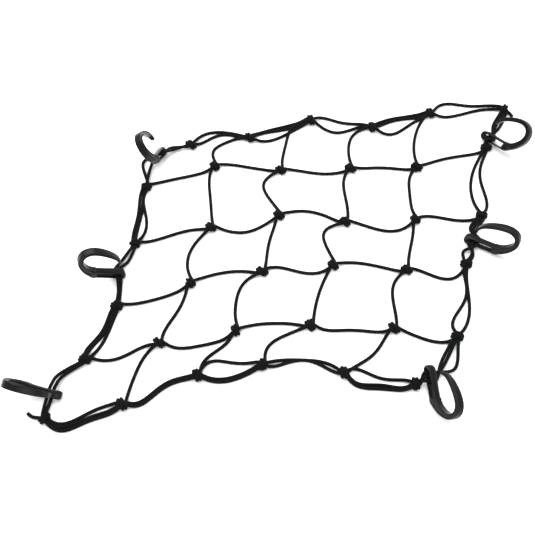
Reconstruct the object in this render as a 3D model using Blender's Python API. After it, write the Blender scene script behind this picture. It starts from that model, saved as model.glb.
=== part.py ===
"""Elastic cargo net: a knotted net of braided cord and the six moulded hooks on its border.

The net lies spread out on a floor at z = 0, with +X to its right and +Y towards its far edge.
Lengths in the tables and functions are millimetres; MM turns them into Blender's metres.
"""

from math import radians

import bmesh
import bpy
import numpy as np
from mathutils import Matrix, Vector

MM = 0.001

# Driving sizes of the net
CORD = 3.4  # diameter of the braided cord
PITCH = 76.2  # from knot to knot along a row, at rest
ROW_STEP = 0.85 * PITCH  # from row to row
LEAN = 0.39 * PITCH  # each row lies this much further right than the row in front of it
LAST = 5  # knots are numbered 0 to 5 from the far row to the near one, and from left to right
CENTRE = (-11.6408, -15.2229)  # middle of the whole part, hooks included, in the net's own plan
STRAND_SIDES = 6
STRAND_STEPS = 4  # straight lengths in each inner strand
BORDER_STEPS = 5  # and in each of the border's
FLAT_ANGLE = radians(2.0)  # faces of the joined solids that turn less than this become one
STRAND_RADIUS = 1.06 * CORD / 2  # to the corners of the six-sided strand, whose flats lie on the floor
FLAT = np.cos(np.pi / STRAND_SIDES)  # flat-to-centre over corner-to-centre
STRAND_REST = STRAND_RADIUS * FLAT  # height of the middle of a strand that lies on the floor
RISE = 17.0  # a strand lifts off the floor over this length as it nears a knot

# The knots: a six-sided barrel with two ridges, one for each turn of the cord
KNOT_RADIUS = 4.9
KNOT_HEIGHT = KNOT_RADIUS * FLAT  # its middle, when its flat lies on the floor
KNOT_ENTRY = 3.2  # cords enter it this far from its middle, along its axis
ENTRY_SPACING = 2.5  # and those of a bundle this far beside each other
KNOT_PROFILE = (
    # along its axis, share of the radius
    (-6.2, 0.50),
    (-4.0, 1.00),
    (0.0, 0.74),
    (4.0, 1.00),
    (6.2, 0.50),
)

# How far each knot lies from its place in an even net, (right, away) for columns 0 to 5
KNOT_DRIFT = (
    ((8, -10), (1, -6), (0, 13), (-5, -5), (-8, 9), (5, 6)),  # far border
    ((-16, 0), (-13, 21), (-14, 8), (-10, 2), (-10, -4), (0, 16)),
    ((-1, -10), (7, 3), (7, 11), (3, -5), (5, -10), (3, -12)),
    ((8, -20), (10, 0), (11, 6), (12, 6), (13, -8), (2, -7)),
    ((5, -13), (4, -2), (7, 4), (8, 2), (17, -10), (4, -26)),
    ((-4, -7), (-5, 0), (-6, 23), (-16, 28), (-12, 11), (-19, -8)),  # near border
)

# How far a strand bows to the left of its way, a quarter, half and three quarters along it
ROW_BOWS = (
    # bays 0 to 4 of each inner row, going right, so that + is away
    ((0, -1, -2), (4, 3, 2), (-1, -4, -4), (1, 2, 1), (2, 2, 0)),
    ((-1, 2, 4), (-10, -13, -8), (8, 10, 7), (-5, -11, -11), (3, -1, -3)),
    ((-5, -6, -5), (5, 7, 6), (3, -3, -6), (5, 5, 3), (-4, -12, -13)),
    ((-7, -6, 0), (-10, -10, -8), (5, 6, 5), (-5, -3, -3), (-4, -7, -7)),
)
COLUMN_BOWS = (
    # bays 0 to 4 of each inner column, coming nearer, so that + is right
    ((-12, -17, -18), (-4, -3, -2), (-9, -13, -11), (2, 1, -2), (-6, -6, -4)),
    ((-14, -12, -8), (-17, -16, -8), (-1, -2, -1), (-13, -14, -10), (1, -3, -6)),
    ((-14, -15, -10), (-5, -3, 0), (-18, -17, -9), (-3, -4, -3), (-7, -12, -13)),
    ((-8, -10, -8), (-7, -7, -6), (1, 0, -1), (-9, -8, -3), (3, 5, 2)),
)
# The border is two turns of one cord, and the mesh cord runs along with it in every other bay
BORDER_BOWS = {
    # side: one entry for each bay, with the bows of each of its strands; None is a bay with a hook
    "far": (
        ((14, 15, 11), (4, 10, 8)),
        ((4, 3, 2), (2, -1, -2), (-11, -10, -6)),
        ((6, 3, 4), (-11, -12, -3)),
        ((7, 6, 4), (3, 3, 0), (-15, -11, -5)),
        ((13, 9, 7), (-6, -2, 1)),
    ),
    "near": (
        ((-7, -3, 1), (-10, -6, -2), (-14, -10, -6)),
        ((-3, 3, 5), (-6, 0, 2)),
        ((13, 9, 5), (-7, -8, -5), (-10, -11, -8)),
        ((8, 10, 10), (4, 10, 6)),
        ((6, 2, 3), (-8, -5, -4), (-11, -9, -7)),
    ),
    "left": (
        None,
        ((-1, 5, 8), (-1, -1, -2), (-5, -4, -5)),
        None,
        ((4, 6, 6), (1, 1, -2), (-3, -2, -5)),
        None,
    ),
    "right": (
        None,
        ((-4, -3, 4), (-10, -14, -12)),
        None,
        ((4, 8, 9), (3, 3, -5)),
        None,
    ),
}
TAIL_BEND = (0.62, 0.12, 0.6)  # a free end bends at this share of its way, this share of it aside
# and this high above its rest
TAILS = (
    # knot (row, column), free end (right, away) of the knot: the cut ends of the mesh cord
    ((0, LAST), (8.1, -11.5)),
    ((LAST, 0), (-16.5, 7.5)),
)

# Driving sizes of a hook, in its own axes: u along the shank from the eye, v from the shank to
# the arm and w across. v = 0 is the middle of the slot that the cords pass through.
SLOT = (2.6, 31.0, 2.6)  # from u, to u, half its height in v
SLOT_CORNER = 2.1  # radius of its corners
SLOT_MARGIN = 0.8  # from its end at the eye to the first cord
EYE_OUTLINE = (0.0, 36.0, -4.4, 5.2)  # the plate round the slot: from u, to u, from v, to v
EYE_CORNER = 3.2  # radius of its corners
EYE_HALF_WIDTH = 3.2
EYE_CHAMFER = 0.6
THREAD_REACH = 7.0  # a cord runs straight across the hook this far each side of its middle
CORD_SPACING = 3.9  # the cords lie side by side along the slot, from its end at the eye
SAG = 0.3  # a cord keeps this share of its height half way from its hook to a knot
TURNS = (0.55, 0.5)  # where it bends on its way from a knot to the hook, and on to the next knot
SHORT_WAY = 27.0  # over less than this it runs straight from the hook to the knot
SIDE_SHARE = 0.64  # how much of a section's edge is flat; the rest is its chamfer
HOOK_ARM = (
    # u, v of the middle of the section, its thickness in the hook's plane, its width across
    (31.5, 1.3, 9.6, 8.0),
    (37.0, 1.9, 8.6, 8.6),
    (42.5, 4.4, 7.4, 8.8),
    (48.0, 9.0, 6.6, 8.8),
    (52.6, 15.4, 6.0, 8.6),
    (54.2, 22.4, 5.6, 8.4),
    (52.0, 29.2, 5.5, 8.2),
    (46.0, 33.2, 5.4, 8.0),
    (38.0, 33.6, 5.4, 7.8),
    (29.0, 31.6, 5.2, 7.2),
    (20.5, 28.2, 4.6, 6.4),
    (14.5, 24.0, 3.4, 5.6),
    (10.2, 18.0, 2.2, 4.6),
)
HOOKS = {
    # name: side and bay of the border, the directions of u and v, where the eye's cords cross
    # the hook (right, away), and the bows of each cord before and after the hook
    "hook_far_left": (
        ("left", 0), (-0.21, -0.79, 0.57), (-0.39, 0.60, 0.69), (-142.3, 141.7),
        ((-6, -25), (-10, -14)),
    ),
    "hook_mid_left": (
        ("left", 2), (-0.88, -0.13, 0.46), (0.43, 0.18, 0.88), (-195.2, -15.2),
        ((-8, -7), (-3, -3)),
    ),
    "hook_near_left": (
        ("left", 4), (-0.91, 0.26, 0.31), (0.16, -0.49, 0.86), (-259.8, -145.2),
        ((-6, -12), (-13, -9)),
    ),
    "hook_far_right": (
        ("right", 0), (0.52, -0.81, 0.26), (0.40, 0.50, 0.77), (240.5, 125.4),
        ((3, 3), (0, 0), (-4, -4)),
    ),
    "hook_mid_right": (
        ("right", 2), (0.81, -0.58, 0.08), (0.07, 0.22, 0.97), (191.1, -12.0),
        ((3, 4), (0, 0), (-6, -6)),
    ),
    "hook_near_right": (
        ("right", 4), (0.03, -0.97, -0.22), (0.46, -0.18, 0.87), (112.1, -164.9),
        ((14, 6), (5, 2), (1, -2)),
    ),
}


def clear_scene():
    for thing in list(bpy.data.objects):
        bpy.data.objects.remove(thing, do_unlink=True)


def new_collection(name):
    collection = bpy.data.collections.new(name)
    bpy.context.scene.collection.children.link(collection)
    return collection


def finish(name, colour, roughness):
    """A Principled material."""
    material = bpy.data.materials.new(name)
    material.use_nodes = True
    shader = material.node_tree.nodes["Principled BSDF"]
    shader.inputs["Base Color"].default_value = (*colour, 1.0)
    shader.inputs["Roughness"].default_value = roughness
    shader.inputs["Metallic"].default_value = 0.0
    return material


def unit(vector):
    return vector / np.linalg.norm(vector)


def knot(row, column):
    """The plan position of a knot."""
    middle = LAST / 2
    right, away = KNOT_DRIFT[row][column]
    x = (column - middle) * PITCH + (middle - row) * LEAN + right
    y = (middle - row) * ROW_STEP + away
    return np.array((x - CENTRE[0], y - CENTRE[1]))


def border_ring():
    """The border's knots in order, once round."""
    span = range(LAST)
    far = [(0, column) for column in span]
    right = [(row, LAST) for row in span]
    near = [(LAST, LAST - column) for column in span]
    left = [(LAST - row, 0) for row in span]
    return far + right + near + left


def knot_axis(row, column):
    """The direction in which the cords leave a knot: along the border, or up to the right."""
    ring = border_ring()
    if (row, column) in ring:
        place = ring.index((row, column))
        after = ring[(place + 1) % len(ring)]
        return unit(knot(*after) - knot(*ring[place - 1]))
    along_row = knot(row, column + 1) - knot(row, column - 1)
    along_column = knot(row - 1, column) - knot(row + 1, column)
    return unit(unit(along_row) + unit(along_column))


def entry(row, column, towards):
    """Where a strand that comes from a given point enters a knot, as x, y, z."""
    middle = knot(row, column)
    axis = knot_axis(row, column)
    share = np.clip(2.0 * axis @ unit(towards - middle), -1.0, 1.0)
    return np.array((*(middle + KNOT_ENTRY * share * axis), KNOT_HEIGHT))


def beside(number, count):
    """How far to the left of its bundle's middle one of several cords enters a knot."""
    return ((count - 1) / 2 - number) * ENTRY_SPACING


def strand(start, end, bows, steps, side=0.0):
    """Points of a strand between two knots: a smooth bow through the three stations given,
    which lies on the floor and lifts to the knots at its ends."""
    first, last = knot(*start), knot(*end)
    way = last - first
    left = np.array((-way[1], way[0])) / np.linalg.norm(way)
    first, last = entry(*start, first + way), entry(*end, last - way)
    stations = np.linspace(0.0, 1.0, 5)
    bow = np.polyfit(stations, (side, *bows, side), 4)
    share = np.linspace(0.0, 1.0, steps + 1)[:, None]
    points = first + (last - first) * share
    points[:, :2] += left * np.polyval(bow, share)
    to_knot = np.minimum(share, 1.0 - share)[:, 0] * np.linalg.norm(way)
    lift = np.clip(1.0 - to_knot / RISE, 0.0, 1.0) ** 2
    points[:, 2] = STRAND_REST + (KNOT_HEIGHT - STRAND_REST) * lift
    return points


def hook_axes(name):
    """The hook's u, v and w directions as the columns of a matrix."""
    _, u, v, _, _ = HOOKS[name]
    u = unit(np.array(u))
    v = np.array(v)
    v = unit(v - (v @ u) * u)
    return np.stack((u, v, np.cross(u, v)), axis=1)


def eye_middle(cords):
    """How far along u the middle of so many cords lies, side by side from the slot's end."""
    return SLOT[0] + SLOT_MARGIN + STRAND_RADIUS + (cords - 1) * CORD_SPACING / 2


def hook_matrix(name, lowest):
    """Places a hook on the floor, given how far its lowest corner reaches below its origin."""
    _, _, _, eye, cords = HOOKS[name]
    axes = hook_axes(name)
    plan = np.array(eye) - np.array(CENTRE) - (axes @ (eye_middle(len(cords)), 0.0, 0.0))[:2]
    matrix = Matrix(axes.tolist()).to_4x4()
    matrix.translation = Vector((plan[0], plan[1], -lowest)) * MM
    return matrix


def sagging(point):
    """The height of a cord half way between the floor and a point above it."""
    return STRAND_REST + SAG * max(point[2] - STRAND_REST, 0.0)


def hook_strand(name, number, hook_place, start, end):
    """Points of a border cord that passes through a hook's slot, straight across the hook."""
    cords = HOOKS[name][4]
    before, after = cords[number]
    first, last = knot(*start), knot(*end)
    way = last - first
    left = np.array((-way[1], way[0])) / np.linalg.norm(way)
    across = hook_axes(name)[:, 2]
    across = across * np.sign(across[:2] @ way)
    along = eye_middle(len(cords)) + (number - (len(cords) - 1) / 2) * CORD_SPACING
    middle = np.array(hook_place @ Vector((along * MM, 0.0, 0.0))) / MM
    near_side, far_side = middle - across * THREAD_REACH, middle + across * THREAD_REACH
    share = (middle[:2] - first) @ way / (way @ way)
    to_hook, from_hook = share * TURNS[0], share + (1.0 - share) * TURNS[1]
    spread = np.array((*left, 0.0)) * beside(number, len(cords))
    points = [
        entry(*start, first + way) + spread,
        np.array((*(first + way * to_hook + left * before), sagging(near_side))),
        near_side,
        middle,
        far_side,
        np.array((*(first + way * from_hook + left * after), sagging(far_side))),
        entry(*end, last - way) + spread,
    ]
    if (1.0 - share) * np.linalg.norm(way) < SHORT_WAY:
        del points[5]
    points = np.array(points)
    points[:, 2] = np.maximum(points[:, 2], STRAND_REST)
    return points


def swept(name, points, radius, sides, shares, collection):
    """A mesh tube of so many sides along points, with its flats down, from a bevelled curve."""
    curve = bpy.data.curves.new(name, "CURVE")
    curve.dimensions = "3D"
    curve.twist_mode = "Z_UP"
    curve.bevel_depth = radius * MM
    curve.bevel_resolution = (sides - 4) // 2
    curve.use_fill_caps = True
    spline = curve.splines.new("POLY")
    spline.points.add(len(points) - 1)
    for place, point, share in zip(spline.points, points, shares):
        place.co = (*(point * MM), 1.0)
        place.radius = share
    guide = bpy.data.objects.new(name + "_guide", curve)
    collection.objects.link(guide)
    bpy.context.view_layer.update()
    evaluated = guide.evaluated_get(bpy.context.evaluated_depsgraph_get())
    mesh = bpy.data.meshes.new_from_object(evaluated)
    welded(mesh)
    tube = bpy.data.objects.new(name, mesh)
    tube.matrix_world = guide.matrix_world
    collection.objects.link(tube)
    bpy.data.objects.remove(guide)
    return tube


def welded(mesh):
    """Joins a mesh's loose caps to its walls and turns its faces outwards."""
    shape = bmesh.new()
    shape.from_mesh(mesh)
    bmesh.ops.remove_doubles(shape, verts=shape.verts, dist=0.00001)
    bmesh.ops.recalc_face_normals(shape, faces=shape.faces)
    shape.to_mesh(mesh)
    shape.free()


def merge_flat(mesh):
    """Merges neighbouring faces that lie within a degree or two of one plane."""
    shape = bmesh.new()
    shape.from_mesh(mesh)
    bmesh.ops.dissolve_limit(shape, angle_limit=FLAT_ANGLE, verts=shape.verts, edges=shape.edges)
    bmesh.ops.triangulate(shape, faces=shape.faces)
    shape.to_mesh(mesh)
    shape.free()


def as_helper(thing):
    thing.hide_render = True
    thing.display_type = "WIRE"


def union(name, base, others, collection, material):
    """One object for a mesh joined with every object of a collection."""
    joined = base.modifiers.new("joined", "BOOLEAN")
    joined.operation = "UNION"
    joined.solver = "EXACT"
    joined.operand_type = "COLLECTION"
    joined.collection = others
    bpy.context.view_layer.update()
    evaluated = base.evaluated_get(bpy.context.evaluated_depsgraph_get())
    mesh = bpy.data.meshes.new_from_object(evaluated)
    merge_flat(mesh)
    mesh.materials.clear()
    mesh.materials.append(material)
    whole = bpy.data.objects.new(name, mesh)
    collection.objects.link(whole)
    base.modifiers.remove(joined)
    return whole


def side_knots(side, bay):
    """The two knots at the ends of a bay of the border."""
    if side in ("far", "near"):
        row = 0 if side == "far" else LAST
        return (row, bay), (row, bay + 1)
    column = 0 if side == "left" else LAST
    return (bay, column), (bay + 1, column)


def net_strands(hook_places):
    """The points of every strand of the net, free ends included."""
    routes = []
    for row, bays in enumerate(ROW_BOWS, 1):
        for column, bows in enumerate(bays):
            routes.append(strand((row, column), (row, column + 1), bows, STRAND_STEPS))
    for column, bays in enumerate(COLUMN_BOWS, 1):
        for row, bows in enumerate(bays):
            routes.append(strand((row, column), (row + 1, column), bows, STRAND_STEPS))
    for side, bays in BORDER_BOWS.items():
        for bay, strands in enumerate(bays):
            for number, bows in enumerate(strands or ()):
                spread = beside(number, len(strands))
                routes.append(strand(*side_knots(side, bay), bows, BORDER_STEPS, spread))
    for name, (place, _, _, _, cords) in HOOKS.items():
        for number in range(len(cords)):
            ends = side_knots(*place)
            routes.append(hook_strand(name, number, hook_places[name], *ends))
    along, aside, above = TAIL_BEND
    for place, way in TAILS:
        middle, way = knot(*place), np.array(way)
        bend = middle + along * way + aside * np.array((-way[1], way[0]))
        end = middle + way
        heights = (KNOT_HEIGHT, STRAND_REST + above, STRAND_REST)
        routes.append(np.column_stack(((middle, bend, end), heights)))
    return routes


def make_net(hook_places, material, collection, helpers):
    """The strands and knots of the net, fused where the cord is knotted."""
    for number, points in enumerate(net_strands(hook_places)):
        even = np.ones(len(points))
        as_helper(swept(f"strand_{number}", points, STRAND_RADIUS, STRAND_SIDES, even, helpers))
    stations, shares = np.array(KNOT_PROFILE).T
    for row in range(LAST + 1):
        for column in range(LAST + 1):
            axis = np.array((*knot_axis(row, column), 0.0))
            middle = np.array((*knot(row, column), KNOT_HEIGHT))
            points = middle + stations[:, None] * axis
            name = f"knot_{row}_{column}"
            as_helper(swept(name, points, KNOT_RADIUS, STRAND_SIDES, shares, helpers))
    base = helpers.objects["knot_2_2"]
    helpers.objects.unlink(base)
    bases = new_collection("net_base")
    bases.objects.link(base)
    return union("net", base, helpers, collection, material)


def hook_body(collection):
    """The shank's solid end, the bend and the arm: a loft of chamfered sections that grow
    thinner and narrower towards the tip."""
    path = np.array(HOOK_ARM)
    middles, thickness, width = path[:, :2], path[:, 2:3], path[:, 3:4]
    ways = np.gradient(middles, axis=0)
    ways /= np.linalg.norm(ways, axis=1)[:, None]
    inward = np.stack((-ways[:, 1], ways[:, 0]), axis=1)
    flat = SIDE_SHARE
    corners = np.array(
        ((1, flat), (flat, 1), (-flat, 1), (-1, flat), (-1, -flat), (-flat, -1), (flat, -1), (1, -flat))
    )
    rings = np.empty((len(path), len(corners), 3))
    rings[:, :, :2] = middles[:, None] + inward[:, None] * (corners[:, :1] * thickness[:, None] / 2)
    rings[:, :, 2] = corners[:, 1] * width / 2
    shape = bmesh.new()
    loops = [[shape.verts.new(corner * MM) for corner in ring] for ring in rings]
    for near, far in zip(loops, loops[1:]):
        for side in range(len(corners)):
            shape.faces.new((near[side - 1], near[side], far[side], far[side - 1]))
    shape.faces.new(loops[0])
    shape.faces.new(loops[-1])
    bmesh.ops.recalc_face_normals(shape, faces=shape.faces)
    mesh = bpy.data.meshes.new("hook_body")
    shape.to_mesh(mesh)
    shape.free()
    body = bpy.data.objects.new("hook_body", mesh)
    collection.objects.link(body)
    return body


def rounded(low_u, high_u, low_v, high_v, radius, steps):
    """Corner by corner, the points of a rectangle with round corners."""
    corners = (
        (high_u - radius, high_v - radius, 0.0),
        (low_u + radius, high_v - radius, 90.0),
        (low_u + radius, low_v + radius, 180.0),
        (high_u - radius, low_v + radius, 270.0),
    )
    points = []
    for u, v, turn in corners:
        for step in range(steps + 1):
            angle = radians(turn + 90.0 * step / steps)
            points.append((u + radius * np.cos(angle), v + radius * np.sin(angle)))
    return points


def hook_eye(collection):
    """The slotted end of the shank: a flat outline with a round-ended hole, extruded."""
    curve = bpy.data.curves.new("hook_eye", "CURVE")
    curve.dimensions = "2D"
    curve.fill_mode = "BOTH"
    curve.extrude = (EYE_HALF_WIDTH - EYE_CHAMFER) * MM
    curve.bevel_depth = EYE_CHAMFER * MM
    curve.bevel_resolution = 0
    curve.offset = -EYE_CHAMFER * MM
    start, end, half = SLOT
    outlines = (
        rounded(*EYE_OUTLINE, EYE_CORNER, 2),
        rounded(start, end, -half, half, SLOT_CORNER, 1),
    )
    for outline in outlines:
        spline = curve.splines.new("POLY")
        spline.points.add(len(outline) - 1)
        spline.use_cyclic_u = True
        for place, (u, v) in zip(spline.points, outline):
            place.co = (u * MM, v * MM, 0.0, 1.0)
    guide = bpy.data.objects.new("hook_eye_guide", curve)
    collection.objects.link(guide)
    bpy.context.view_layer.update()
    evaluated = guide.evaluated_get(bpy.context.evaluated_depsgraph_get())
    mesh = bpy.data.meshes.new_from_object(evaluated)
    welded(mesh)
    bpy.data.objects.remove(guide)
    eye = bpy.data.objects.new("hook_eye", mesh)
    collection.objects.link(eye)
    return eye


def make_hooks(material, collection, helpers):
    """Six copies of one hook, each placed on the floor. Gives their places by name."""
    body = hook_body(helpers)
    bases = new_collection("hook_base")
    eye = hook_eye(bases)
    as_helper(body)
    as_helper(eye)
    pattern = union("hook_pattern", eye, helpers, bases, material)
    as_helper(pattern)
    corners = np.array([corner.co[:] for corner in pattern.data.vertices]) / MM
    places = {}
    for name in HOOKS:
        lowest = (corners @ hook_axes(name).T)[:, 2].min()
        hook = bpy.data.objects.new(name, pattern.data)
        hook.matrix_world = hook_matrix(name, lowest)
        collection.objects.link(hook)
        places[name] = hook.matrix_world.copy()
    return places


clear_scene()
cargo_net = new_collection("cargo_net")
hook_places = make_hooks(
    finish("moulded_plastic", (0.035, 0.037, 0.038), 0.42), cargo_net, new_collection("hook_helpers")
)
make_net(
    hook_places,
    finish("braided_cord", (0.018, 0.019, 0.021), 0.85),
    cargo_net,
    new_collection("net_helpers"),
)
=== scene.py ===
from math import cos, radians, sin

import bpy
import numpy as np
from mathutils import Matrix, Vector


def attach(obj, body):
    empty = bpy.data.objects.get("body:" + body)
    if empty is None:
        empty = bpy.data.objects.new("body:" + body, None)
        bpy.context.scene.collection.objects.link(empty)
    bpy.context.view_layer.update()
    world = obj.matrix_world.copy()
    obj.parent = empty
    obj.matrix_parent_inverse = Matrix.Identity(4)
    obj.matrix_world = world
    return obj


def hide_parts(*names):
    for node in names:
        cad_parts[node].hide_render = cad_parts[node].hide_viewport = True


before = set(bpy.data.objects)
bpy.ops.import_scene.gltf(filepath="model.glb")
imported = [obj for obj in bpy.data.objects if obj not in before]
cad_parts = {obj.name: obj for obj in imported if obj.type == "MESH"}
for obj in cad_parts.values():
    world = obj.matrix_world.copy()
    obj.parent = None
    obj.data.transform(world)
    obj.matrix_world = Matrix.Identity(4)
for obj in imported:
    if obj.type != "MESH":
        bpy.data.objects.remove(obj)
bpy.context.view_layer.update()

# The view. The net lies spread on a pale floor and is seen from its near side, 60 degrees above
# the floor and a little from the left. Lengths here are metres.
AZIMUTH, ELEVATION = radians(-5.8), radians(60.0)
DISTANCE = 0.918
TARGET = Vector((-0.02376, -0.00458, 0.0))
PICTURE_WIDTH = 535.0  # pixels
FOCAL_LENGTH = 850.0  # pixels
SENSOR = 36.0

towards_camera = Vector(
    (sin(AZIMUTH) * cos(ELEVATION), -cos(AZIMUTH) * cos(ELEVATION), sin(ELEVATION))
)
camera_data = bpy.data.cameras.new("camera")
camera_data.sensor_width = SENSOR
camera_data.clip_start = 0.01
camera_data.lens = FOCAL_LENGTH / PICTURE_WIDTH * SENSOR
camera = bpy.data.objects.new("camera", camera_data)
camera.location = TARGET + towards_camera * DISTANCE
camera.rotation_euler = towards_camera.to_track_quat("Z", "Y").to_euler()
bpy.context.scene.collection.objects.link(camera)
bpy.context.scene.camera = camera


# The lie of the net: thirty-six knots in six rows of six, pushed out of square as the net was
# dropped on the floor. Two elastic cords run through them. Lengths from here on are millimetres.
MM = 0.001
CORD_RADIUS = 1.8
PITCH = 76.2  # knot to knot along a row of the net at rest
ROW_STEP = 0.85 * PITCH
LEAN = 0.39 * PITCH  # each row lies this much further right than the one in front
LAST = 5
CENTRE = (-11.6408, -15.2229)
KNOT_HEIGHT = 4.5  # of a knot's middle above the floor
KNOT_ENTRY = 3.4  # a cord enters a knot this far from its middle
ENTRY_SPACING = 2.9  # cords of one bundle enter it this far beside each other
RISE = 17.0  # a cord lifts off the floor over this length beside a knot
LEG_STATIONS = 31  # stations of a cord from one knot to the next

KNOT_DRIFT = (
    # (right, away) of each knot from its place in an even net, columns 0 to 5, far row first
    ((8, -10), (1, -6), (0, 13), (-5, -5), (-8, 9), (5, 6)),
    ((-16, 0), (-13, 21), (-14, 8), (-10, 2), (-10, -4), (0, 16)),
    ((-1, -10), (7, 3), (7, 11), (3, -5), (5, -10), (3, -12)),
    ((8, -20), (10, 0), (11, 6), (12, 6), (13, -8), (2, -7)),
    ((5, -13), (4, -2), (7, 4), (8, 2), (17, -10), (4, -26)),
    ((-4, -7), (-5, 0), (-6, 23), (-16, 28), (-12, 11), (-19, -8)),
)


def knot_at(row, column):
    """A knot's place on the floor: its place in a leaning, even net plus its drift."""
    middle = LAST / 2
    right, away = KNOT_DRIFT[row][column]
    x = (column - middle) * PITCH + (middle - row) * LEAN + right
    y = (middle - row) * ROW_STEP + away
    return np.array((x - CENTRE[0], y - CENTRE[1]))


def border_ring():
    """The border's knots once round, from the far left corner to the right."""
    span = range(LAST)
    far = [(0, column) for column in span]
    right = [(row, LAST) for row in span]
    near = [(LAST, LAST - column) for column in span]
    left = [(LAST - row, 0) for row in span]
    return far + right + near + left


RING = border_ring()


def unit(vector):
    """The vector shortened or lengthened to one."""
    return vector / np.linalg.norm(vector)


def knot_way(place):
    """The way the cords run through a knot: along the border there, and inside the net half way
    between its row and its column."""
    if place in RING:
        number = RING.index(place)
        after = RING[(number + 1) % len(RING)]
        return unit(knot_at(*after) - knot_at(*RING[number - 1]))
    row, column = place
    along_row = knot_at(row, column + 1) - knot_at(row, column - 1)
    along_column = knot_at(row - 1, column) - knot_at(row + 1, column)
    return unit(unit(along_row) + unit(along_column))


def entry(place, way):
    """Where a cord that leaves a knot in a direction comes out of it: as far along the knot's way
    as twice the cosine between the two says, and at most at its end."""
    axis = knot_way(place)
    share = np.clip(2.0 * axis @ unit(way), -1.0, 1.0)
    return np.array((*(knot_at(*place) + KNOT_ENTRY * share * axis), KNOT_HEIGHT))


def beside(number, count):
    """How far to the left of a bundle's middle one of its cords enters a knot."""
    return ((count - 1) / 2 - number) * ENTRY_SPACING


def lying(start, end, bows, side=0.0):
    """Centre line of a cord on the floor between two knots. Its plan is the straight way plus the
    quartic bow through the given bows at a quarter, half and three quarters of it; its height
    falls from each knot to the floor as the square of the way that is left of its rise."""
    way = knot_at(*end) - knot_at(*start)
    length = np.linalg.norm(way)
    left = np.array((-way[1], way[0])) / length
    first, last = entry(start, way), entry(end, -way)
    bow = np.polyfit(np.linspace(0.0, 1.0, 5), (side, *bows, side), 4)
    share = np.linspace(0.0, 1.0, LEG_STATIONS)[:, None]
    points = first + (last - first) * share
    points[:, :2] += left * np.polyval(bow, share)
    to_knot = np.minimum(share, 1.0 - share)[:, 0] * length
    lift = np.clip(1.0 - to_knot / RISE, 0.0, 1.0) ** 2
    points[:, 2] = CORD_RADIUS + (KNOT_HEIGHT - CORD_RADIUS) * lift
    return points


# The bundles of the border: two turns of the border cord, and the mesh cord with them in every
# other bay. Where a hook is threaded on, the cords run through the slot at its eye instead.
SIDE_BOWS = {
    # bays 0 to 4 of each side, going right or coming nearer; one row of bows to the left for each
    # cord from the left of the bundle to its right; None is a bay with a hook
    "far": (
        ((14, 15, 11), (4, 10, 8)),
        ((4, 3, 2), (2, -1, -2), (-11, -10, -6)),
        ((6, 3, 4), (-11, -12, -3)),
        ((7, 6, 4), (3, 3, 0), (-15, -11, -5)),
        ((14, 9, 7), (-6, -2, 1)),
    ),
    "near": (
        ((-6.2, -2.2, 2.2), (-9.4, -6.4, -4), (-13.2, -9.8, -7.4)),
        ((-3, 3, 5), (-6, 0, 2)),
        ((13, 9, 5), (-7, -8, -5), (-10, -11, -8)),
        ((8, 10, 10), (4, 10, 6)),
        ((6, 2, 3), (-8.4, -5.8, -5), (-11.6, -9.8, -8)),
    ),
    "left": (
        None,
        ((0.5, 6, 8.5), (0, 0.5, -0.5), (-4, -3, -4)),
        None,
        ((4, 6, 6), (1.6, 2.2, -1), (-2, -0.8, -3.6)),
        None,
    ),
    "right": (
        None,
        ((-4, -3, 4), (-10, -14, -12)),
        None,
        ((4, 8, 9), (3, 3, -5)),
        None,
    ),
}
HOOKS = {
    # name: side and bay of the border, directions of the shank u and of the opening v, origin, and
    # for each cord its place along the shank in the slot and its bows before and after the hook
    "hook_far_left": (
        ("left", 0), (-0.21, -0.79, 0.57), (-0.39, 0.60, 0.69), (-129.15, 162.59, 3.00),
        ((6.0, -14.5, -27), (12.0, -11, -14)),
    ),
    "hook_mid_left": (
        ("left", 2), (-0.88, -0.13, 0.46), (0.43, 0.18, 0.88), (-177.27, 0.95, 2.89),
        ((5.2, -2, -1), (9.1, -9, -3)),
    ),
    "hook_near_left": (
        ("left", 4), (-0.91, 0.26, 0.31), (0.16, -0.49, 0.86), (-241.62, -131.84, 3.84),
        ((8.5, -9.5, -13.5), (12.8, -14, -10.5)),
    ),
    "hook_far_right": (
        ("right", 0), (0.52, -0.81, 0.26), (0.40, 0.50, 0.77), (247.39, 148.02, 4.07),
        ((5.2, 4, 3), (9.1, -0.5, 0), (13.0, -3.5, -4)),
    ),
    "hook_mid_right": (
        ("right", 2), (0.81, -0.58, 0.08), (0.07, 0.22, 0.97), (195.36, 8.50, 4.59),
        ((6.0, 0, 4), (10.0, -4, 3), (14.0, -7.6, -7)),
    ),
    "hook_near_right": (
        ("right", 4), (0.03, -0.97, -0.22), (0.46, -0.18, 0.87), (123.47, -140.80, 12.23),
        ((6.5, 19.5, 6), (10.5, 8.2, 2), (14.5, 4.6, -3)),
    ),
}
THREAD_REACH = 7.0  # a cord runs straight across a hook this far each side of its middle
BOW_BEFORE_HOOK = 0.55  # share of the way from the knot to a hook at which its bow is set
SAG_TO_FLOOR = 0.3  # share of its height at the hook that a cord keeps at its bow
SHORT_WAY = 27.0  # a cord with less than this left after a hook has no bow there


def side_knots(side, bay):
    """The two knots of a bay of the border, the left or the far one first."""
    if side in ("far", "near"):
        row = 0 if side == "far" else LAST
        return (row, bay), (row, bay + 1)
    column = 0 if side == "left" else LAST
    return (bay, column), (bay + 1, column)


def hook_axes(name):
    """A hook's shank, opening and crosswise directions as the columns of a matrix."""
    u, v = unit(np.array(HOOKS[name][1])), np.array(HOOKS[name][2])
    v = unit(v - (v @ u) * u)
    return np.stack((u, v, np.cross(u, v)), axis=1)


CURVE_STEPS = 8  # stations from each of a curve's given points to the next


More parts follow.
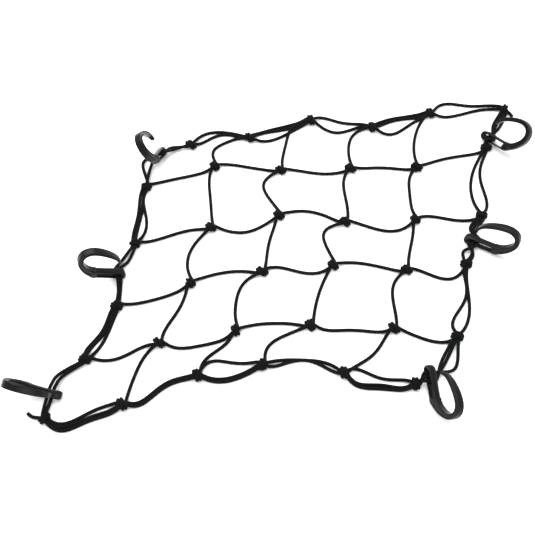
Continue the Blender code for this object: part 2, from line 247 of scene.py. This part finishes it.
def smooth_through(points, steps):
    """The Catmull-Rom curve: between two points, the cubic whose slope at each of them is half
    the way from the point before it to the point after it."""
    ends = 2 * points[0] - points[1], 2 * points[-1] - points[-2]
    padded = np.vstack((ends[0], points, ends[1]))
    before, near, far, after = (padded[n : len(padded) - 3 + n] for n in range(4))
    t = (np.arange(steps) / steps)[:, None, None]
    linear = (far - before) * t
    square = (2 * before - 5 * near + 4 * far - after) * t**2
    cube = (3 * near - before - 3 * far + after) * t**3
    curve = near + 0.5 * (linear + square + cube)
    return np.vstack((curve.transpose(1, 0, 2).reshape(-1, points.shape[1]), points[-1]))


def threaded(name, number):
    """Centre line of a border cord that is threaded through a hook: from the knot down to its bow,
    straight across the slot, and by its second bow to the next knot."""
    (side, bay), _, _, origin, cords = HOOKS[name]
    start, end = side_knots(side, bay)
    in_slot, before, after = cords[number]
    first = knot_at(*start)
    way = knot_at(*end) - first
    left = np.array((-way[1], way[0])) / np.linalg.norm(way)
    axes = hook_axes(name)
    across = axes[:, 2] * np.sign(axes[:2, 2] @ way)
    middle = np.array(origin) + axes[:, 0] * in_slot
    sides = middle - across * THREAD_REACH, middle + across * THREAD_REACH
    low = [CORD_RADIUS + SAG_TO_FLOOR * max(point[2] - CORD_RADIUS, 0.0) for point in sides]
    share = (middle[:2] - first) @ way / (way @ way)
    spread = np.array((*left, 0.0)) * beside(number, len(cords))
    points = [
        entry(start, way) + spread,
        np.array((*(first + way * share * BOW_BEFORE_HOOK + left * before), low[0])),
        sides[0],
        middle,
        sides[1],
        np.array((*(first + way * (1.0 + share) / 2 + left * after), low[1])),
        entry(end, -way) + spread,
    ]
    if (1.0 - share) * np.linalg.norm(way) < SHORT_WAY:
        del points[5]
    curve = smooth_through(np.array(points), CURVE_STEPS)
    curve[:, 2] = np.maximum(curve[:, 2], CORD_RADIUS)
    return curve


def border_cord_line(side, bay, number):
    """Centre line of one cord of a border bay, counted from the left of the way."""
    bows = SIDE_BOWS[side][bay]
    if bows is None:
        names = [name for name, facts in HOOKS.items() if facts[0] == (side, bay)]
        return threaded(names[0], number)
    return lying(*side_knots(side, bay), bows[number], beside(number, len(bows)))


def cords_in(side, bay):
    """How many cords a bay of the border bundles."""
    bows = SIDE_BOWS[side][bay]
    if bows is None:
        return 2 if side == "left" else 3  # the mesh cord runs through the right hooks too
    return len(bows)


# The overhand knots. At every crossing one cord runs in beside the others and goes back over them
# in rather more than two turns, pulled tight. Each knot is a little different, from a fixed seed.
LOOP_HALF_WIDTH, LOOP_HALF_HEIGHT = 5.7, 3.2
LOOP_REACH = 3.7  # the loops lie this far each side of the knot's middle
FEWEST_TURNS, MOST_TURNS = 2.2, 2.6
TURN_STATIONS = 72
DRAWN_IN = 0.13  # share of the turns, at each end, over which they widen from the middle
WIDENING = 0.7  # power of that widening
NARROWEST, WIDEST = 0.93, 1.05  # shares of the half width
MOST_SLANT = 0.5
chance = np.random.default_rng(12)


def overhand(place, way_out):
    """Centre line of the turns of a knot: an ellipse across the knot's way, carried back along it
    while it turns. Its size grows from the middle at both ends as a power of the share turned."""
    axis = np.array((*knot_way(place), 0.0))
    axis *= np.sign(axis[:2] @ way_out) or 1.0
    side = np.array((-axis[1], axis[0], 0.0))
    up = np.array((0.0, 0.0, 1.0))
    middle = np.array((*knot_at(*place), KNOT_HEIGHT))
    share = np.linspace(0.0, 1.0, TURN_STATIONS)[:, None]
    turns = chance.uniform(FEWEST_TURNS, MOST_TURNS) * chance.choice((-1.0, 1.0))
    start = chance.uniform(-0.5, 0.5) * np.pi
    slant = chance.uniform(-MOST_SLANT, MOST_SLANT)
    angle = start + 2 * np.pi * turns * share
    out = np.clip(np.minimum(share, 1.0 - share) / DRAWN_IN, 0.0, 1.0) ** WIDENING
    along = LOOP_REACH * (1.0 - 2.0 * share) + slant * np.cos(angle)
    return (
        middle
        + axis * along
        + side * LOOP_HALF_WIDTH * chance.uniform(NARROWEST, WIDEST) * out * np.cos(angle)
        + up * LOOP_HALF_HEIGHT * out * np.sin(angle)
    )


def evened(points, spacing):
    """The same line with stations at even spacing. Its corners are rounded by a running mean of
    five stations that weighs the middle one most, and it is kept off the floor."""
    steps = np.linalg.norm(np.diff(points, axis=0), axis=1)
    length = np.concatenate(((0.0,), np.cumsum(steps)))
    stations = np.linspace(0.0, length[-1], int(length[-1] / spacing) + 1)
    even = np.stack([np.interp(stations, length, line) for line in points.T], axis=1)
    weights = np.array((1.0, 2.0, 3.0, 2.0, 1.0)) / 9.0
    padded = np.pad(even, ((2, 2), (0, 0)), mode="edge")
    even = np.stack([np.convolve(line, weights, "valid") for line in padded.T], axis=1)
    even[:, 2] = np.maximum(even[:, 2], CORD_RADIUS)
    return even


NUDGE = 0.001  # keeps the first direction from being nothing where a path starts upright


def across_path(path):
    """Two directions across the path at each station, each turned from the last one only as far
    as the path itself turns."""
    ways = np.gradient(path, axis=0)
    ways /= np.linalg.norm(ways, axis=1)[:, None]
    first = np.empty_like(path)
    side = np.cross(ways[0], (0.0, 0.0, 1.0)) + NUDGE
    for number, way in enumerate(ways):
        side = unit(side - (side @ way) * way)
        first[number] = side
    return first, np.cross(ways, first)


def closed_tube(name, rings, along, around):
    """A mesh from rings of corners, one for each station, closed by a corner in the middle of its
    first and last ring. Its UV map holds the way along in metres and the way round from 0 to 1."""
    count, sides, _ = rings.shape
    poles = rings[[0, -1]].mean(axis=1)
    corners = np.vstack((rings.reshape(-1, 3), poles)) * MM
    ring, side = np.meshgrid(np.arange(count - 1), np.arange(sides), indexing="ij")
    ring, side = ring.ravel(), side.ravel()
    after = (side + 1) % sides
    here, ahead = ring * sides, (ring + 1) * sides
    quads = np.stack((here + side, here + after, ahead + after, ahead + side), axis=1)
    edge = np.arange(sides)
    turned = (edge + 1) % sides
    start, end = np.full(sides, count * sides), np.full(sides, count * sides + 1)
    last = (count - 1) * sides
    first_cap = np.stack((start, turned, edge), axis=1)
    last_cap = np.stack((end, last + edge, last + turned), axis=1)
    caps = np.vstack((first_cap, last_cap))
    mesh = bpy.data.meshes.new(name)
    mesh.from_pydata(corners.tolist(), [], quads.tolist() + caps.tolist())
    quad_along = np.stack((along[ring], along[ring], along[ring + 1], along[ring + 1]), axis=1)
    round_end = np.append(around, 1.0)
    quad_around = np.stack(
        (round_end[side], round_end[side + 1], round_end[side + 1], round_end[side]), axis=1
    )
    cap_along = np.repeat((along[0], along[-1]), sides * 3)
    cap_around = np.tile(np.repeat(around, 3), 2)
    layer = mesh.uv_layers.new(name="along_and_round")
    all_along = np.append(quad_along.ravel() * MM, cap_along * MM)
    all_around = np.append(quad_around.ravel(), cap_around)
    layer.data.foreach_set("uv", np.stack((all_along, all_around), axis=1).ravel())
    mesh.polygons.foreach_set("use_smooth", np.ones(len(mesh.polygons), dtype=bool))
    mesh.update()
    piece = bpy.data.objects.new(name, mesh)
    bpy.context.scene.collection.objects.link(piece)
    return piece


CORD_SIDES = 16
STATION = 1.4  # spacing of the stations along a cord
END_STATIONS = np.array((0.0, 0.08, 0.25, 0.5, 0.75))  # closer ones at each end, in such spacings
END_ROUNDING = 0.7  # an end is rounded off over this many radii
END_CLOSING = 0.97  # share of its section's area that is gone at the very end
BEAD = 0.14  # share of the radius by which a melted end swells


def cord_piece(name, line, material):
    """A round cord along a line: at each station a circle across the line. Each end was cut with a
    hot blade: it swells into a bead, as the bell curve does, and is rounded off as a quarter
    circle over its last stations, which lie closer together."""
    even = evened(line, STATION)
    count = len(even)
    middle = np.arange(1, count - 1)
    stations = np.concatenate((END_STATIONS, middle, count - 1 - END_STATIONS[::-1]))
    path = np.stack([np.interp(stations, np.arange(count), axis) for axis in even.T], axis=1)
    length = stations * STATION
    to_end = np.minimum(length, length[-1] - length)
    rounded = np.clip(1.0 - to_end / (END_ROUNDING * CORD_RADIUS), 0.0, 1.0)
    swelling = 1.0 + BEAD * np.exp(-((to_end / CORD_RADIUS) ** 2))
    radius = CORD_RADIUS * np.sqrt(1.0 - END_CLOSING * rounded**2) * swelling
    first, second = across_path(path)
    angle = np.linspace(0.0, 2 * np.pi, CORD_SIDES, endpoint=False)[None, :, None]
    circle = first[:, None] * np.cos(angle) + second[:, None] * np.sin(angle)
    rings = path[:, None] + circle * radius[:, None, None]
    piece = closed_tube(name, rings, length, np.arange(CORD_SIDES) / CORD_SIDES)
    piece.data.materials.append(material)
    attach(piece, "root")
    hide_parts("net")


# The finish of the cord: a rubber core in a braided polyester sleeve of sixteen dull black yarns,
# eight wound each way, each passing over and under the others.


def value_node(tree, operation, *values):
    """A Math node with the given numbers or sockets as its inputs; gives its output."""
    node = tree.nodes.new("ShaderNodeMath")
    node.operation = operation
    for socket, value in zip(node.inputs, values):
        if isinstance(value, (int, float)):
            socket.default_value = value
        else:
            tree.links.new(value, socket)
    return node.outputs[0]


def handling_group():
    """Patchy wear from handling, shared by cord and plastic: broad soft patches and fine grain,
    both from noise on Object coordinates."""
    group = bpy.data.node_groups.new("handling", "ShaderNodeTree")
    group.interface.new_socket("Patch Scale", in_out="INPUT", socket_type="NodeSocketFloat")
    group.interface.new_socket("Grain Scale", in_out="INPUT", socket_type="NodeSocketFloat")
    group.interface.new_socket("Patches", in_out="OUTPUT", socket_type="NodeSocketFloat")
    group.interface.new_socket("Grain", in_out="OUTPUT", socket_type="NodeSocketFloat")
    inside = group.nodes.new("NodeGroupInput")
    outside = group.nodes.new("NodeGroupOutput")
    place = group.nodes.new("ShaderNodeTexCoord")
    for scale, result, detail in (("Patch Scale", "Patches", 3.0), ("Grain Scale", "Grain", 2.0)):
        noise = group.nodes.new("ShaderNodeTexNoise")
        noise.inputs["Detail"].default_value = detail
        group.links.new(place.outputs["Object"], noise.inputs["Vector"])
        group.links.new(inside.outputs[scale], noise.inputs["Scale"])
        group.links.new(noise.outputs["Fac"], outside.inputs[result])
    return group


handling = handling_group()


def new_finish(name, roughness):
    """A material with its shader, ready for its nodes."""
    material = bpy.data.materials.new(name)
    material.use_nodes = True
    shader = material.node_tree.nodes["Principled BSDF"]
    shader.inputs["Roughness"].default_value = roughness
    shader.inputs["Metallic"].default_value = 0.0
    return material, material.node_tree, shader


def handled(tree, patch_scale, grain_scale):
    """The shared wear with this finish's own scales."""
    node = tree.nodes.new("ShaderNodeGroup")
    node.node_tree = handling
    node.inputs["Patch Scale"].default_value = patch_scale
    node.inputs["Grain Scale"].default_value = grain_scale
    return node.outputs["Patches"], node.outputs["Grain"]


def toned(tree, factor, dark, light):
    """A colour between two tones."""
    ramp = tree.nodes.new("ShaderNodeValToRGB")
    ramp.color_ramp.elements[0].color = (*dark, 1.0)
    ramp.color_ramp.elements[1].color = (*light, 1.0)
    tree.links.new(factor, ramp.inputs["Fac"])
    return ramp.outputs["Color"]


YARNS = 8.0  # yarns wound each way
YARN_PITCH = 0.00134  # metres of cord between one yarn and the next
CORD_DARK, CORD_LIGHT = (0.0006, 0.0008, 0.0008), (0.006, 0.0072, 0.0072)
CORD_PATCHES, CORD_FUZZ = 45.0, 2600.0  # noise scales of its wear and of its fine fuzz
# The yarns' height also sets the cord's colour: painted shade in the crevices between the yarns and
# painted highlight on their tops.
YARN_SHADE_AND_HIGHLIGHT, WEAR_TONE = 0.45, 0.6  # shares of the yarns' height and of the wear in its tone
FUZZ_RELIEF = 0.25  # height of the fuzz on a yarn, as a share of the yarn's own
BRAID_DEPTH = 0.00022  # metres


def braided_finish():
    """Two families of yarns wind round the sleeve at opposite slants. A yarn's height is one less
    four times the square of the way from its middle, as a share of its width, and a checkerboard
    of the two counts says which lies on top."""
    material, tree, shader = new_finish("braided_sleeve", roughness=0.5)
    shader.inputs["Specular IOR Level"].default_value = 0.03
    shader.inputs["Sheen Weight"].default_value = 0.02
    shader.inputs["Sheen Roughness"].default_value = 0.5
    uv = tree.nodes.new("ShaderNodeUVMap")
    uv.uv_map = "along_and_round"
    split = tree.nodes.new("ShaderNodeSeparateXYZ")
    tree.links.new(uv.outputs["UV"], split.inputs["Vector"])
    along = value_node(tree, "DIVIDE", split.outputs["X"], YARN_PITCH)
    around = value_node(tree, "MULTIPLY", split.outputs["Y"], YARNS)
    counts, heights = [], []
    for operation in ("ADD", "SUBTRACT"):
        place = value_node(tree, operation, along, around)
        counts.append(value_node(tree, "FLOOR", place))
        centred = value_node(tree, "SUBTRACT", value_node(tree, "FRACT", place), 0.5)
        square = value_node(tree, "POWER", value_node(tree, "ABSOLUTE", centred), 2.0)
        heights.append(value_node(tree, "MULTIPLY_ADD", square, -4.0, 1.0))
    total = value_node(tree, "ADD", *counts)
    on_top = value_node(tree, "PINGPONG", total, 1.0)
    under = value_node(tree, "SUBTRACT", 1.0, on_top)
    first = value_node(tree, "MULTIPLY", heights[0], on_top)
    height = value_node(tree, "MULTIPLY_ADD", heights[1], under, first)
    patches, fuzz = handled(tree, CORD_PATCHES, CORD_FUZZ)
    worn = value_node(tree, "MULTIPLY", patches, WEAR_TONE)
    # Colour from the yarns' height is painted shade between the yarns and painted highlight on
    # their tops; the patches add real wear.
    tone = value_node(tree, "MULTIPLY_ADD", height, YARN_SHADE_AND_HIGHLIGHT, worn)
    colour = toned(tree, tone, CORD_DARK, CORD_LIGHT)
    tree.links.new(colour, shader.inputs["Base Color"])
    bump = tree.nodes.new("ShaderNodeBump")
    bump.inputs["Strength"].default_value = 0.7
    bump.inputs["Distance"].default_value = BRAID_DEPTH
    relief = value_node(tree, "MULTIPLY_ADD", fuzz, FUZZ_RELIEF, height)
    tree.links.new(relief, bump.inputs["Height"])
    tree.links.new(bump.outputs["Normal"], shader.inputs["Normal"])
    return material


sleeve = braided_finish()


# The mesh cord: one length that is knotted to and fro, first up and down the four inner columns and
# then along the four inner rows, with the border between them. Its ends stick out at two corners.
ROW_BOWS = (
    # bays 0 to 4 of each inner row, going right, so that + is away
    ((0, -1, -2), (4, 3, 2), (-1, -4, -4), (1, 2, 1), (2, 2, 0)),
    ((-1, 2, 4), (-10, -13, -8), (8, 10, 7), (-5, -11, -11), (3, -1, -3)),
    ((-5, -6, -5), (5, 7, 6), (3, -3, -6), (5, 5, 3), (-4, -12, -13)),
    ((-7, -6, 0), (-10, -10, -8), (5, 6, 5), (-5, -3, -3), (-4, -7, -7)),
)
COLUMN_BOWS = (
    # bays 0 to 4 of each inner column, coming nearer, so that + is right
    ((-12, -17, -18), (-4, -3, -2), (-9, -13, -11), (2, 1, -2), (-6, -6, -4)),
    ((-14, -12, -8), (-17, -16, -8), (-1, -2, -1), (-13, -14, -10), (1, -3, -6)),
    ((-14, -15, -10), (-5, -3, 0), (-18, -17, -9), (-3, -4, -3), (-7, -12, -13)),
    ((-8, -10, -8), (-7, -7, -6), (1, 0, -1), (-9, -8, -3), (3, 5, 2)),
)
TAILS = ((8.1, -11.5), (-18.0, 8.2))  # (right, away) of the far right and near left cut ends


def mesh_route():
    """The knots of the mesh cord in order, from the near left corner to the far right one."""
    route = [(LAST, 0)]
    for column in range(1, LAST):
        rows = range(LAST, -1, -1) if column % 2 else range(LAST + 1)
        route += [(row, column) for row in rows]
    route.append((LAST, LAST))
    for row in range(LAST - 1, 0, -1):
        columns = range(LAST + 1) if row % 2 else range(LAST, -1, -1)
        route += [(row, column) for column in columns]
    return route + [(0, LAST)]


def border_bay(start, end):
    """The side and the bay of the border that lie between two neighbouring knots of it."""
    row, column = min(start, end)
    if start[0] == end[0]:
        return ("far" if row == 0 else "near"), column
    return ("left" if column == 0 else "right"), row


def mesh_leg(start, end):
    """Centre line of the mesh cord between two knots that follow each other on its route."""
    low, high = min(start, end), max(start, end)
    row, column = low
    if start[0] == end[0] and 0 < row < LAST:
        line = lying(low, high, ROW_BOWS[row - 1][column])
    elif start[1] == end[1] and 0 < column < LAST:
        line = lying(low, high, COLUMN_BOWS[column - 1][row])
    else:
        side, bay = border_bay(start, end)
        innermost = 0 if side in ("near", "left") else cords_in(side, bay) - 1
        line = border_cord_line(side, bay, innermost)
    return line if start == low else line[::-1]


WAY_OUT = 6  # stations from a knot to where a cord's way out of it is read


def knotted_line(route, leg, ties):
    """One line through all the legs of a route, with the turns of a knot at each tied place."""
    parts = []
    for start, end in zip(route, route[1:]):
        line = leg(start, end)
        if ties(start):
            parts.append(overhand(start, line[WAY_OUT, :2] - line[0, :2]))
        parts.append(line)
    return parts


TAIL_BEND = (0.62, 0.12)  # (out, left) of a cut end's bend, as shares of its length
TAIL_HEIGHTS = (KNOT_HEIGHT, CORD_RADIUS + 0.6, CORD_RADIUS + 0.1)  # its bead clears the floor
TAIL_STEPS = 6


def tail(place, way):
    """Centre line of a cut end, from its knot out to where it lies on the floor."""
    middle, way = knot_at(*place), np.array(way)
    bend = middle + TAIL_BEND[0] * way + TAIL_BEND[1] * np.array((-way[1], way[0]))
    points = np.column_stack(((middle, bend, middle + way), TAIL_HEIGHTS))
    return smooth_through(points, TAIL_STEPS)


route = mesh_route()
crossed = set()


def ties_mesh(place):
    """The mesh cord ties a knot at each border knot, and inside the net on its second visit."""
    inner = 0 < place[0] < LAST and 0 < place[1] < LAST
    first_visit = place not in crossed
    crossed.add(place)
    return not (inner and first_visit)


parts = knotted_line(route, mesh_leg, ties_mesh)
far_end, near_end = tail(route[-1], TAILS[0]), tail(route[0], TAILS[1])
parts = [near_end[::-1], *parts, overhand(route[-1], np.array(TAILS[0])), far_end]
cord_piece("mesh_cord", np.vstack(parts), sleeve)


# The border cord: a second length of the same cord that runs twice round the net. Its ends are tied
# in the far left corner knot, and at the other knots only the mesh cord's turns hold it.
CORNER_TIE_WAY = (1.0, 0.5)  # (right, away) of the cord's way out of that knot


def border_leg(start, end, turn):
    """Centre line of one turn of the border cord between two neighbouring knots: the outer cord
    of the bundle for turn 0 and the next one in for turn 1."""
    side, bay = border_bay(start, end)
    outer_first = side in ("far", "right")
    number = turn if outer_first else cords_in(side, bay) - 1 - turn
    line = border_cord_line(side, bay, number)
    return line if start < end else line[::-1]


closed_ring = RING + [RING[0]]
turns_of_border = [
    [border_leg(start, end, turn) for start, end in zip(closed_ring, closed_ring[1:])]
    for turn in range(2)
]
corner_tie = overhand(RING[0], np.array(CORNER_TIE_WAY))
border_line = np.vstack((*turns_of_border[0], corner_tie, *turns_of_border[1]))
cord_piece("border_cord", border_line, sleeve)


# The hooks: six alike, moulded in one piece of tough satin black plastic. A slotted eye takes the
# border cords, a stout shank bends round into a flat arm, and the arm tapers to a blunt tip.
HOOK_ARM = (
    # u along the shank, v towards the arm, thickness, width
    (31.4, 1.1, 9.2, 7.8),
    (33.0, 0.8, 10.4, 8.4),
    (35.4, 1.1, 10.2, 8.8),
    (38.0, 2.2, 8.4, 8.8),
    (42.5, 4.4, 7.4, 8.8),
    (48.0, 9.0, 6.6, 8.8),
    (52.6, 15.4, 6.0, 8.6),
    (54.2, 22.4, 5.6, 8.4),
    (52.0, 29.2, 5.5, 8.2),
    (46.0, 33.2, 5.4, 8.0),
    (38.0, 33.6, 5.4, 7.8),
    (29.0, 31.6, 5.2, 7.2),
    (20.5, 28.2, 4.6, 6.4),
    (14.5, 24.0, 3.4, 5.6),
    (10.2, 18.0, 2.2, 4.6),
)
HOOK_EYE = (
    # the band round the slot, from the shank along the bay side to the eye's end and back outside
    (37.0, 3.4, 3.6, 7.8),
    (31.0, 4.0, 3.0, 7.4),
    (22.0, 4.1, 2.9, 7.2),
    (12.0, 4.2, 3.1, 7.8),
    (5.2, 4.1, 3.4, 8.8),
    (1.9, 2.8, 3.7, 8.4),
    (0.8, 0.3, 3.8, 7.6),
    (1.5, -2.1, 3.2, 7.8),
    (4.2, -3.6, 2.4, 7.4),
    (10.0, -3.6, 1.9, 6.2),
    (22.0, -3.6, 1.8, 6.0),
    (29.5, -3.5, 1.9, 6.4),
    (33.0, -3.0, 2.8, 7.2),
    (35.6, -2.5, 3.6, 7.8),
)
ARM_SQUARENESS, EYE_SQUARENESS = 6.0, 3.4
ARM_CHANNEL = 1.1  # depth of the channel in each side of the arm
CHANNEL_START, CHANNEL_FADE_IN = 0.21, 0.06  # shares of the bar's length
CHANNEL_FADE_OUT = 0.18
CHANNEL_HALF, CHANNEL_SLOPE = 0.68, 0.16  # shares of half its thickness
END_SHARES = (0.78, 0.94)  # sizes of the outermost section at each end and of the one after it
SECTION_SIDES = 64


def moulded_bar(name, table, squareness, channel):
    """A bar whose section is a rounded rectangle, carried along a smooth curve through the rows of
    a table. The section is the superellipse whose power is the squareness. A channel sinks into
    both of its sides over the middle of its thickness, so that a rim is left along each edge, and
    fades out at the shoulder and at the tip."""
    path = smooth_through(np.array(table), CURVE_STEPS)
    u, v, thickness, width = path.T
    ways = np.gradient(path[:, :2], axis=0)
    ways /= np.linalg.norm(ways, axis=1)[:, None]
    inward = np.stack((-ways[:, 1], ways[:, 0]), axis=1)
    angle = np.linspace(0.0, 2 * np.pi, SECTION_SIDES, endpoint=False)
    power = 2.0 / squareness
    face = np.sign(np.cos(angle)) * np.abs(np.cos(angle)) ** power
    flank = np.sign(np.sin(angle)) * np.abs(np.sin(angle)) ** power
    share = np.arange(len(path)) / (len(path) - 1)
    fade_in = (share - CHANNEL_START) / CHANNEL_FADE_IN
    fade_out = (1.0 - share) / CHANNEL_FADE_OUT
    fade = np.clip(np.minimum(fade_in, fade_out), 0.0, 1.0)[:, None]
    sunk = channel * fade * np.clip((CHANNEL_HALF - np.abs(face)) / CHANNEL_SLOPE, 0.0, 1.0)
    across = flank * (width[:, None] / 2) - np.sign(flank) * sunk
    inner = face * (thickness[:, None] / 2)
    ends = np.ones(len(path))
    ends[[0, -1]], ends[[1, -2]] = END_SHARES
    rings = np.empty((len(path), SECTION_SIDES, 3))
    rings[:, :, 0] = u[:, None] + inward[:, :1] * inner * ends[:, None]
    rings[:, :, 1] = v[:, None] + inward[:, 1:] * inner * ends[:, None]
    rings[:, :, 2] = -across * ends[:, None]
    steps = np.linalg.norm(np.diff(path[:, :2], axis=0), axis=1)
    length = np.concatenate(((0.0,), np.cumsum(steps)))
    return closed_tube(name, rings, length, np.arange(SECTION_SIDES) / SECTION_SIDES)


PLASTIC_DARK, PLASTIC_LIGHT = (0.0008, 0.001, 0.001), (0.0045, 0.0056, 0.0056)
PLASTIC_PATCHES, PLASTIC_GRAIN = 60.0, 1500.0  # noise scales of its wear and moulded grain
SMOOTHEST, ROUGHENED = 0.22, 0.16  # its least roughness, and what the wear adds to it at most
GRAIN_DEPTH = 0.00008  # metres


def moulded_finish():
    """Satin black plastic with a faint moulded grain, a little greyer and duller in patches, as
    from handling."""
    material, tree, shader = new_finish("satin_plastic", roughness=0.4)
    patches, grain = handled(tree, PLASTIC_PATCHES, PLASTIC_GRAIN)
    colour = toned(tree, patches, PLASTIC_DARK, PLASTIC_LIGHT)
    tree.links.new(colour, shader.inputs["Base Color"])
    shader.inputs["Specular IOR Level"].default_value = 0.17
    rough = value_node(tree, "MULTIPLY_ADD", patches, ROUGHENED, SMOOTHEST)
    tree.links.new(rough, shader.inputs["Roughness"])
    bump = tree.nodes.new("ShaderNodeBump")
    bump.inputs["Strength"].default_value = 0.2
    bump.inputs["Distance"].default_value = GRAIN_DEPTH
    tree.links.new(grain, bump.inputs["Height"])
    tree.links.new(bump.outputs["Normal"], shader.inputs["Normal"])
    return material


def joined(name, first, second):
    """One closed mesh of two that overlap."""
    union = first.modifiers.new("joined", "BOOLEAN")
    union.operation = "UNION"
    union.solver = "EXACT"
    union.object = second
    bpy.context.view_layer.update()
    shape = first.evaluated_get(bpy.context.evaluated_depsgraph_get())
    mesh = bpy.data.meshes.new_from_object(shape)
    mesh.name = name
    for used in (first, second):
        bpy.data.objects.remove(used)
    return mesh


SHARP_EDGE = radians(38.0)  # faces that meet at more than this are not shaded as one

plastic = moulded_finish()
arm = moulded_bar("hook_arm", HOOK_ARM, ARM_SQUARENESS, ARM_CHANNEL)
eye = moulded_bar("hook_eye", HOOK_EYE, EYE_SQUARENESS, 0.0)
hook_form = joined("hook_form", arm, eye)
hook_form.set_sharp_from_angle(angle=SHARP_EDGE)
form = np.empty(len(hook_form.vertices) * 3)
hook_form.vertices.foreach_get("co", form)
form = form.reshape(-1, 3)
for name, (_, _, _, origin, _) in HOOKS.items():
    placed = hook_form.copy()
    spots = form @ hook_axes(name).T + np.array(origin) * MM
    spots[:, 2] -= spots[:, 2].min()  # it rests on the floor
    placed.vertices.foreach_set("co", spots.ravel())
    placed.materials.clear()
    placed.materials.append(plastic)
    placed.update()
    hook = bpy.data.objects.new(f"moulded_{name}", placed)
    bpy.context.scene.collection.objects.link(hook)
    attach(hook, "root")
    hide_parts(name)


# The studio: a plain white floor under a large soft light, with a weaker one in front. An even
# white world lights it from all round. Lengths here are metres again.


def studio_light(name, place, size, watts):
    """A square soft light that faces the middle of the floor."""
    data = bpy.data.lights.new(name, "AREA")
    data.shape = "SQUARE"
    data.size = size
    data.energy = watts
    light = bpy.data.objects.new(name, data)
    light.location = place
    light.rotation_euler = Vector(place).to_track_quat("Z", "Y").to_euler()
    bpy.context.scene.collection.objects.link(light)


studio_light("overhead", place=(-0.3, 0.6, 1.9), size=2.4, watts=78.0)
studio_light("front", place=(0.6, -1.6, 1.1), size=1.2, watts=10.0)

floor_mesh = bpy.data.meshes.new("floor")
edge = 4.0  # from its middle
corners = [(-edge, -edge, 0.0), (edge, -edge, 0.0), (edge, edge, 0.0), (-edge, edge, 0.0)]
floor_mesh.from_pydata(corners, [], [(0, 1, 2, 3)])
floor = bpy.data.objects.new("floor", floor_mesh)
bpy.context.scene.collection.objects.link(floor)
paper, _, paper_shader = new_finish("white_paper", roughness=0.95)
paper_shader.inputs["Base Color"].default_value = (0.9, 0.9, 0.9, 1.0)
paper_shader.inputs["Specular IOR Level"].default_value = 0.1
floor_mesh.materials.append(paper)

world = bpy.data.worlds.new("studio")
world.use_nodes = True
world.node_tree.nodes["Background"].inputs["Color"].default_value = (1.0, 1.0, 1.0, 1.0)
world.node_tree.nodes["Background"].inputs["Strength"].default_value = 0.9
bpy.context.scene.world = world
bpy.context.scene.view_settings.view_transform = "Standard"
